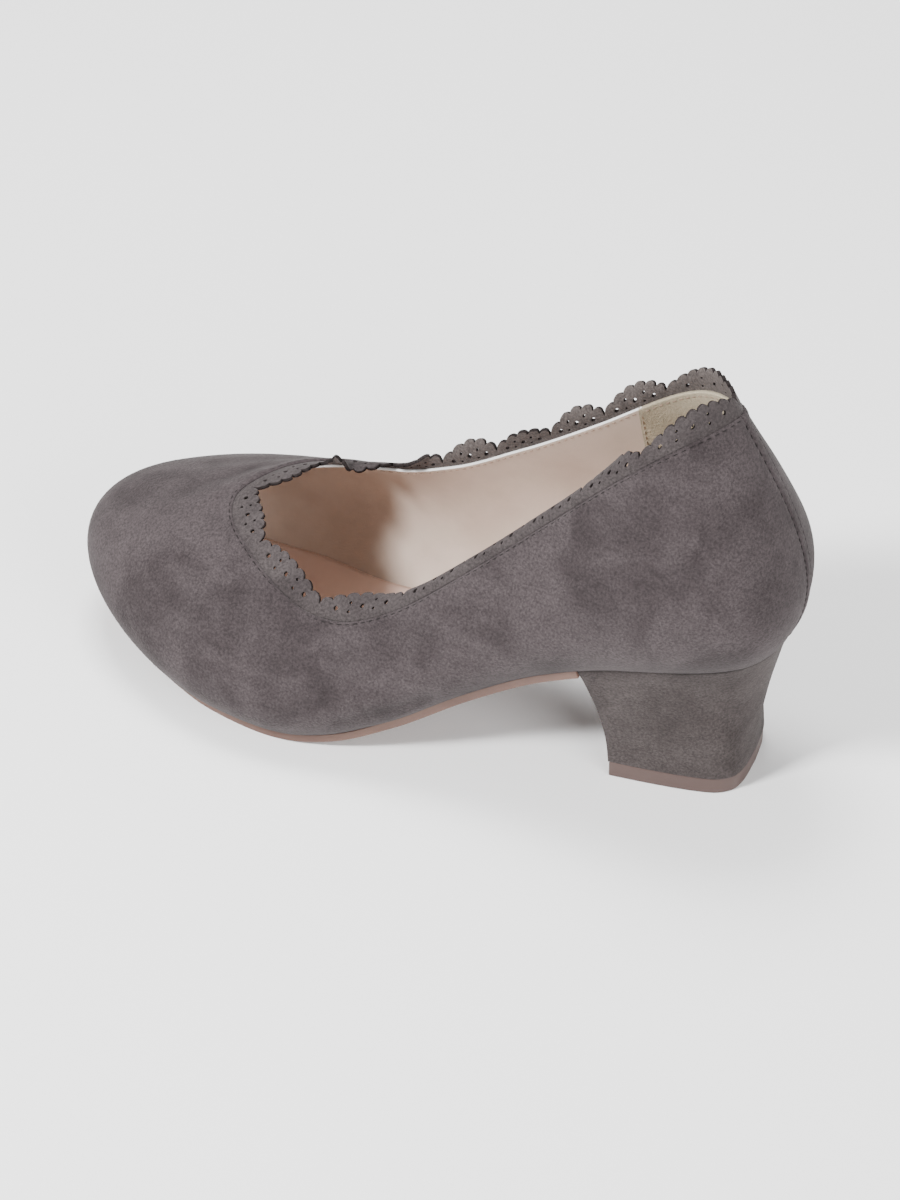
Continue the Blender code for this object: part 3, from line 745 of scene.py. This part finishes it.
def wave_edge(length):
    """Edge of one flat wave from notch to notch: a round wave pinked into small, even scallops."""
    share = np.linspace(0, 1, WAVE_POINTS)
    base = np.column_stack([share * length, wave_height(share)])
    run = np.concatenate([[0], np.cumsum(np.linalg.norm(np.diff(base, axis=0), axis=1))])
    scallops = round(length / SCALLOP_WIDTH)
    place = np.linspace(0, 1, scallops * SCALLOP_POINTS + 1)
    edge = np.column_stack([np.interp(place * run[-1], run, base[:, k]) for k in (0, 1)])
    ahead = unit(np.gradient(edge, axis=0))
    inside = 2 * ((place * scallops) % 1) - 1
    lowest = math.sqrt(1 - SCALLOP_ROUNDNESS)
    arc = (np.sqrt(1 - SCALLOP_ROUNDNESS * inside ** 2) - lowest) / (1 - lowest)
    proud = SCALLOP_DEPTH * (arc - SCALLOP_SEAT)
    edge += np.column_stack([-ahead[:, 1], ahead[:, 0]]) * proud[:, None]
    edge[:, 0] = np.clip(edge[:, 0], WAVE_GAP, length - WAVE_GAP)
    edge[0] = (0, TRIM_NOTCH - SCALLOP_SEAT * SCALLOP_DEPTH)
    edge[-1] = (length, TRIM_NOTCH - SCALLOP_SEAT * SCALLOP_DEPTH)
    return edge


def draw_loop(outline, points):
    """A closed line through the points, for an outline or a hole."""
    loop = outline.splines.new("POLY")
    loop.points.add(len(points) - 1)
    for point, (x, y) in zip(loop.points, points):
        point.co = (x, y, 0, 1)
    loop.use_cyclic_u = True


def cut_wave(length):
    """One flat wave of the trim: its outline less its holes, scored so that it can bend."""
    outline = bpy.data.curves.new("wave", "CURVE")
    outline.dimensions = "2D"
    outline.fill_mode = "BOTH"
    draw_loop(outline, [(0, 0), (length, 0), *wave_edge(length)[::-1]])
    turn = np.linspace(0, 2 * np.pi, HOLE_POINTS, endpoint=False)
    for share, height_share, radius in HOLES:
        along = share * length
        height = height_share * float(wave_height(share))
        draw_loop(outline, list(zip(along + radius * np.cos(turn), height + radius * np.sin(turn))))
    pattern = bpy.data.objects.new("wave", outline)
    bpy.context.scene.collection.objects.link(pattern)
    flat = bpy.data.meshes.new_from_object(pattern.evaluated_get(bpy.context.evaluated_depsgraph_get()))
    bpy.data.objects.remove(pattern, do_unlink=True)
    wave = bmesh.new()
    wave.from_mesh(flat)
    bpy.data.meshes.remove(flat)
    for direction, reach in (((1, 0, 0), length), ((0, 1, 0), TRIM_PEAK)):
        for place in np.arange(TRIM_STEP, reach, TRIM_STEP):
            everything = wave.verts[:] + wave.edges[:] + wave.faces[:]
            cut_at = Vector(direction) * place
            bmesh.ops.bisect_plane(wave, geom=everything, plane_co=cut_at, plane_no=direction)
    return wave


def trim_place(along, height):
    """Where the flat strip goes, along it from the back seam and up it from the collar's seam."""
    t = np.interp(along, collar_run, collar_places)
    edge, normal, up = wall_frames(t, np.ones(len(t)))
    sway = np.array(SWAY, float)
    turn = np.radians(stations(t)["trim_turn"] + steady(t, sway[:, 0], sway[:, 1]))
    low = np.minimum(height, TRIM_SEAT)
    length = np.maximum(height - TRIM_SEAT, 0)
    angle = turn * length / (TRIM_PEAK - TRIM_SEAT)
    chord = length * np.sinc(angle / (2 * np.pi))
    forward = up * np.cos(angle / 2)[:, None] - normal * np.sin(angle / 2)[:, None]
    behind = TRIM_BEHIND * np.clip(1 - height / TRIM_SEAT, 0, 1)
    return edge + up * low[:, None] + forward * chord[:, None] - normal * behind[:, None]


trim_cut = bmesh.new()
notch_run = np.append(NOTCHES, 1.0) * collar_run[-1]
for wave_start, wave_stop in zip(notch_run[:-1], notch_run[1:]):
    one_wave = cut_wave(wave_stop - wave_start)
    bmesh.ops.translate(one_wave, verts=one_wave.verts[:], vec=(wave_start, 0, 0))
    wave_mesh = bpy.data.meshes.new("wave")
    one_wave.to_mesh(wave_mesh)
    one_wave.free()
    trim_cut.from_mesh(wave_mesh)
    bpy.data.meshes.remove(wave_mesh)
bmesh.ops.remove_doubles(trim_cut, verts=trim_cut.verts[:], dist=1e-6)
trim_cut.normal_update()
bmesh.ops.reverse_faces(trim_cut, faces=[face for face in trim_cut.faces if face.normal.z > 0])
flat_strip = np.array([vertex.co[:] for vertex in trim_cut.verts])
for vertex, spot in zip(trim_cut.verts, trim_place(flat_strip[:, 0], flat_strip[:, 1]) + TO_FRAME):
    vertex.co = spot
bmesh.ops.remove_doubles(trim_cut, verts=trim_cut.verts[:], dist=1e-6)

trim_suede = suede_finish("trim_suede", (0.033, 0.0270, 0.0275), (0.052, 0.0440, 0.0440))
trim_inside = suede_finish("trim_inside", (0.058, 0.048, 0.045), (0.088, 0.075, 0.071))
# Near black on the cut edge and the holes' walls: partly the cut edge's own darker tone, partly painted shade
# that darkens the holes
cut_edge_and_hole_shade = suede_finish("cut_edge_and_hole_shade", (0.014, 0.011, 0.011), (0.026, 0.021, 0.021), sheen=0.0)
trim = dress("collar_trim", trim_cut, [trim_suede, trim_inside, cut_edge_and_hole_shade], "collar_trim", "collar_trim")
trim_body = trim.modifiers.new("body", "SOLIDIFY")
trim_body.thickness = TRIM_THICKNESS
trim_body.offset = -1
trim_body.material_offset = 1
trim_body.material_offset_rim = 2


# Stitches: dark grey thread along the collar's folded edge, that holds suede, trim and lining together, and
# down both sides of the back seam; brown thread along the lining's raw edge and round the heel grip.
STITCH_PITCH = 0.0028
STITCH_LENGTH = 0.0020
SHORT_STITCH = 0.0018
THREAD = 0.00034
COLLAR_STITCH_BELOW = 0.0005
COLLAR_STITCH_OUT = 0.00025
INSIDE_STITCH_OUT = 0.0001
LINING_STITCH_RISE = 0.0004
GRIP_STITCH_RISE = 0.0001


def sew(places, shares, out_by, rise_by=0.0, length=STITCH_LENGTH, upright=False):
    """Stitches at places round the wall and shares up it, moved out and up, laid along or upright."""
    spots, normal, up = wall_frames(places, shares)
    ahead = unit(wall(places + 1e-3, shares) - wall(places - 1e-3, shares))
    along = up if upright else ahead
    side = np.cross(normal, along)
    middle = spots + normal * out_by + up * rise_by + TO_FRAME
    size = Matrix.Diagonal((length / 2, THREAD / 2, THREAD / 2, 1))
    thread = bmesh.new()
    for spot, *axes in zip(middle, along, side, normal):
        turn = Matrix(axes).transposed().to_4x4()
        bmesh.ops.create_icosphere(
            thread, subdivisions=1, radius=1.0, matrix=Matrix.Translation(spot) @ turn @ size,
        )
    return thread


def thread_finish(name, colour):
    """Plain matt sewing thread."""
    finish, _, shader = new_finish(name, 0.75, Specular_IOR_Level=0.2)
    shader.inputs["Base Color"].default_value = (*colour, 1.0)
    return finish


stitch_run = np.arange(STITCH_PITCH / 2, collar_run[-1], STITCH_PITCH)
stitch_places = np.interp(stitch_run, collar_run, collar_places)
feather_line, _, _, collar_line, _ = feather_and_collar(stitch_places)
stitch_share = 1 - COLLAR_STITCH_BELOW / np.linalg.norm(collar_line - feather_line, axis=1)
grey_thread = thread_finish("grey_thread", (0.010, 0.008, 0.008))
dress("collar_stitches", sew(stitch_places, stitch_share, COLLAR_STITCH_OUT), [grey_thread], "upper")

seam_shares = np.linspace(0.03, 0.96, 30)
near_back = np.linspace(0, 0.5, 101)
seam_places = np.array([
    np.interp(SEAM_REACH + SEAM_LINE, wall(near_back, np.full(len(near_back), share))[:, 1], near_back)
    for share in seam_shares
])
for seam_side, side_places in (("outer", seam_places), ("inner", len(STATIONS) - seam_places)):
    seam_stitches = sew(side_places, seam_shares, 0.0, upright=True)
    dress("back_stitches_" + seam_side, seam_stitches, [grey_thread], "upper")

brown_thread = thread_finish("brown_thread", (0.300, 0.215, 0.165))
lined = (stitch_places > GRIP_FROM) & (stitch_places < GRIP_TO)
on_lining = -WALL - INSIDE_STITCH_OUT
on_grip = on_lining - GRIP_PROUD
lining_stitches = sew(
    stitch_places[lined], np.ones(lined.sum()), on_lining, LINING_STITCH_RISE, SHORT_STITCH,
)
dress("lining_stitches", lining_stitches, [brown_thread], "insole")
grip_stitches = sew(stitch_places[~lined], np.ones((~lined).sum()), on_grip, GRIP_STITCH_RISE)
dress("grip_top_stitches", grip_stitches, [brown_thread], "insole")
end_shares = np.linspace(0.16, 0.97, 24)
for grip_end, grip_end_place in (("outer", GRIP_FROM), ("inner", GRIP_TO)):
    end_stitches = sew(np.full(len(end_shares), grip_end_place), end_shares, on_grip, upright=True)
    dress("grip_stitches_" + grip_end, end_stitches, [brown_thread], "insole")


# Sole: a thin sheet of tan sole leather, flush with the feather line, its edge smoothed and waxed. It ends
# square against the breast of the heel.
CLEARANCE = 0.0003
SEAT_LENGTH = 0.0615
SOLE_GRID = (180, 30)
SOLE_EDGE = 0.0004
SOLE_EDGE_ANGLE = 30

dense_places = np.linspace(0, len(STATIONS), 2 * OUTLINE_PLACES, endpoint=False)
feather_plan = feather_and_collar(dense_places)[0]


def sole_place(u, w):
    """The sole's upper face, u from the heel breast to the toe and w from the inner side to the outer."""
    x, y = across(feather_plan, u, w, SEAT_LENGTH + CLEARANCE, False)
    return np.column_stack([x, y, underside(x) - CLEARANCE])


def soften(piece, width, angle=35):
    """Real edges are rounded a little."""
    rim = piece.modifiers.new("rim", "BEVEL")
    rim.width = width
    rim.segments = 3
    rim.limit_method = "ANGLE"
    rim.angle_limit = math.radians(angle)


sole_leather = leather_finish("sole_leather", (0.102, 0.054, 0.041), (0.130, 0.073, 0.055), 0.45, coat=0.1)
sole = dress("sole", lay_leather(*SOLE_GRID, sole_place), [sole_leather], "sole", "sole")
sole_body = sole.modifiers.new("body", "SOLIDIFY")
sole_body.thickness = SOLE_THICKNESS - CLEARANCE
sole_body.offset = -1
soften(sole, SOLE_EDGE, SOLE_EDGE_ANGLE)


# Heel: a block covered in the upper's suede, drawn smooth over its back and sides and turned in at the
# breast. It meets the upper in a fine dark line of shade painted along its top edge, and narrows to its foot.
HEEL_FOOT_LENGTH = 0.0420
HEEL_FOOT_WIDTH = 0.0445
HEEL_FOOT_SETBACK = 0.0105
LIFT_THICKNESS = 0.0060
HEEL_GRID = (150, 36)
HEEL_EDGE = 0.0007
BREAST_SHARE = 0.8
SEAT_SHADE = 1.1

# The heel's foot from the breast to the middle of its back: shares of its length and of half its width
HEEL_FOOT = (
    ("breast corner", 1.000, 1.00),
    ("side",          0.720, 0.98),
    ("side middle",   0.430, 0.94),
    ("back corner",   0.180, 0.86),
    ("corner end",    0.040, 0.66),
    ("back side",     0.000, 0.36),
    ("back",         -0.010, 0.00),
)

# How far the heel has narrowed to its foot: share of the way down, share of the narrowing
HEEL_LEVELS = (
    (0.00, 0.00),
    (0.14, 0.23),
    (0.29, 0.44),
    (0.43, 0.62),
    (0.57, 0.76),
    (0.71, 0.88),
    (0.86, 0.96),
    (1.00, 1.00),
)


def seat_plan(round_heel):
    """Plan of the heel's top edge from the outer breast corner, 0, round the back, 1, to the inner one, 2."""
    back = feather_plan[:, 0].min() + CLEARANCE
    half = np.where(round_heel < 1, round_heel, 2 - round_heel)
    x = back + (SEAT_LENGTH - back) * np.cos(0.5 * np.pi * half)
    lateral = side_curve(feather_plan, x, 1) - CLEARANCE
    medial = side_curve(feather_plan, x, -1) + CLEARANCE
    return np.column_stack([x, np.where(round_heel < 1, lateral, medial)])


def foot_plan(round_heel, inset):
    """Plan of the heel's foot at the same places, inset a little."""
    table = np.array([row[1:] for row in HEEL_FOOT])
    half = np.where(round_heel < 1, round_heel, 2 - round_heel)
    share = np.linspace(0, 1, len(table))
    x = steady(half, share, table[:, 0] * (HEEL_FOOT_LENGTH - 2 * inset) + inset)
    y = steady(half, share, table[:, 1] * (HEEL_FOOT_WIDTH / 2 - inset))
    return np.column_stack([HEEL_FOOT_SETBACK + x, np.where(round_heel < 1, y, -y)])


def round_and_across(plan, u):
    """The plan's curve for u up to the breast share, and from there the straight breast back to its start."""
    curve = plan(np.minimum(u / BREAST_SHARE, 1) * 2)
    start = plan(np.zeros(1))
    end = plan(np.full(1, 2.0))
    back = np.clip((u - BREAST_SHARE) / (1 - BREAST_SHARE), 0, 1)[:, None]
    return np.where(u[:, None] < BREAST_SHARE, curve, end + (start - end) * back)


def heel_place(u, w):
    """The heel's side and breast, u round it and w from the seat down to the lift."""
    levels = np.array(HEEL_LEVELS)
    narrowing = steady(w, levels[:, 0], levels[:, 1])
    seat = round_and_across(seat_plan, u)
    foot = round_and_across(lambda p: foot_plan(p, 0.0), u)
    plan = seat + (foot - seat) * narrowing[:, None]
    top = underside(seat[:, 0]) - CLEARANCE
    bottom = LIFT_THICKNESS + CLEARANCE * 0.5
    return np.column_stack([plan, top + (bottom - top) * w])


def close_ends(cut):
    """Both open ends of a tube of leather or rubber are filled."""
    open_edges = [edge for edge in cut.edges if edge.is_boundary]
    bmesh.ops.holes_fill(cut, edges=open_edges, sides=0)
    bmesh.ops.recalc_face_normals(cut, faces=cut.faces[:])
    return cut


heel_suede = suede_finish("heel_suede", (0.030, 0.0240, 0.0235), (0.051, 0.0422, 0.0412))
heel_cut = close_ends(lay_leather(*HEEL_GRID, heel_place))
# Painted shade: a thin dark line along the heel's top edge, where it meets the upper
seat_shade = heel_cut.verts.layers.float.new("shade")
for vertex in heel_cut.verts:
    below_seat = float(underside(vertex.co.x - TO_FRAME[0])) - CLEARANCE - vertex.co.z
    vertex[seat_shade] = SEAT_SHADE * math.exp(-((below_seat / EDGE_LINE) ** 2))
heel = dress("heel", heel_cut, [heel_suede], "heel", "heel")
soften(heel, HEEL_EDGE)


# Top lift: the wearing piece under the heel, moulded from tan-pink rubber, its edge trimmed flush with the
# heel's cover.
LIFT_INSET = 0.0002
LIFT_GRID = (150, 4)
LIFT_EDGE = 0.0005


def lift_place(u, w):
    """The lift's side, straight down from the heel's foot."""
    plan = round_and_across(lambda p: foot_plan(p, LIFT_INSET), u)
    return np.column_stack([plan, LIFT_THICKNESS * (1 - w)])


lift_rubber = leather_finish("lift_rubber", (0.074, 0.047, 0.041), (0.087, 0.057, 0.050), 0.5, grain=2200)
lift_cut = close_ends(lay_leather(*LIFT_GRID, lift_place))
lift = dress("top_lift", lift_cut, [lift_rubber], "top_lift", "top_lift")
soften(lift, LIFT_EDGE)
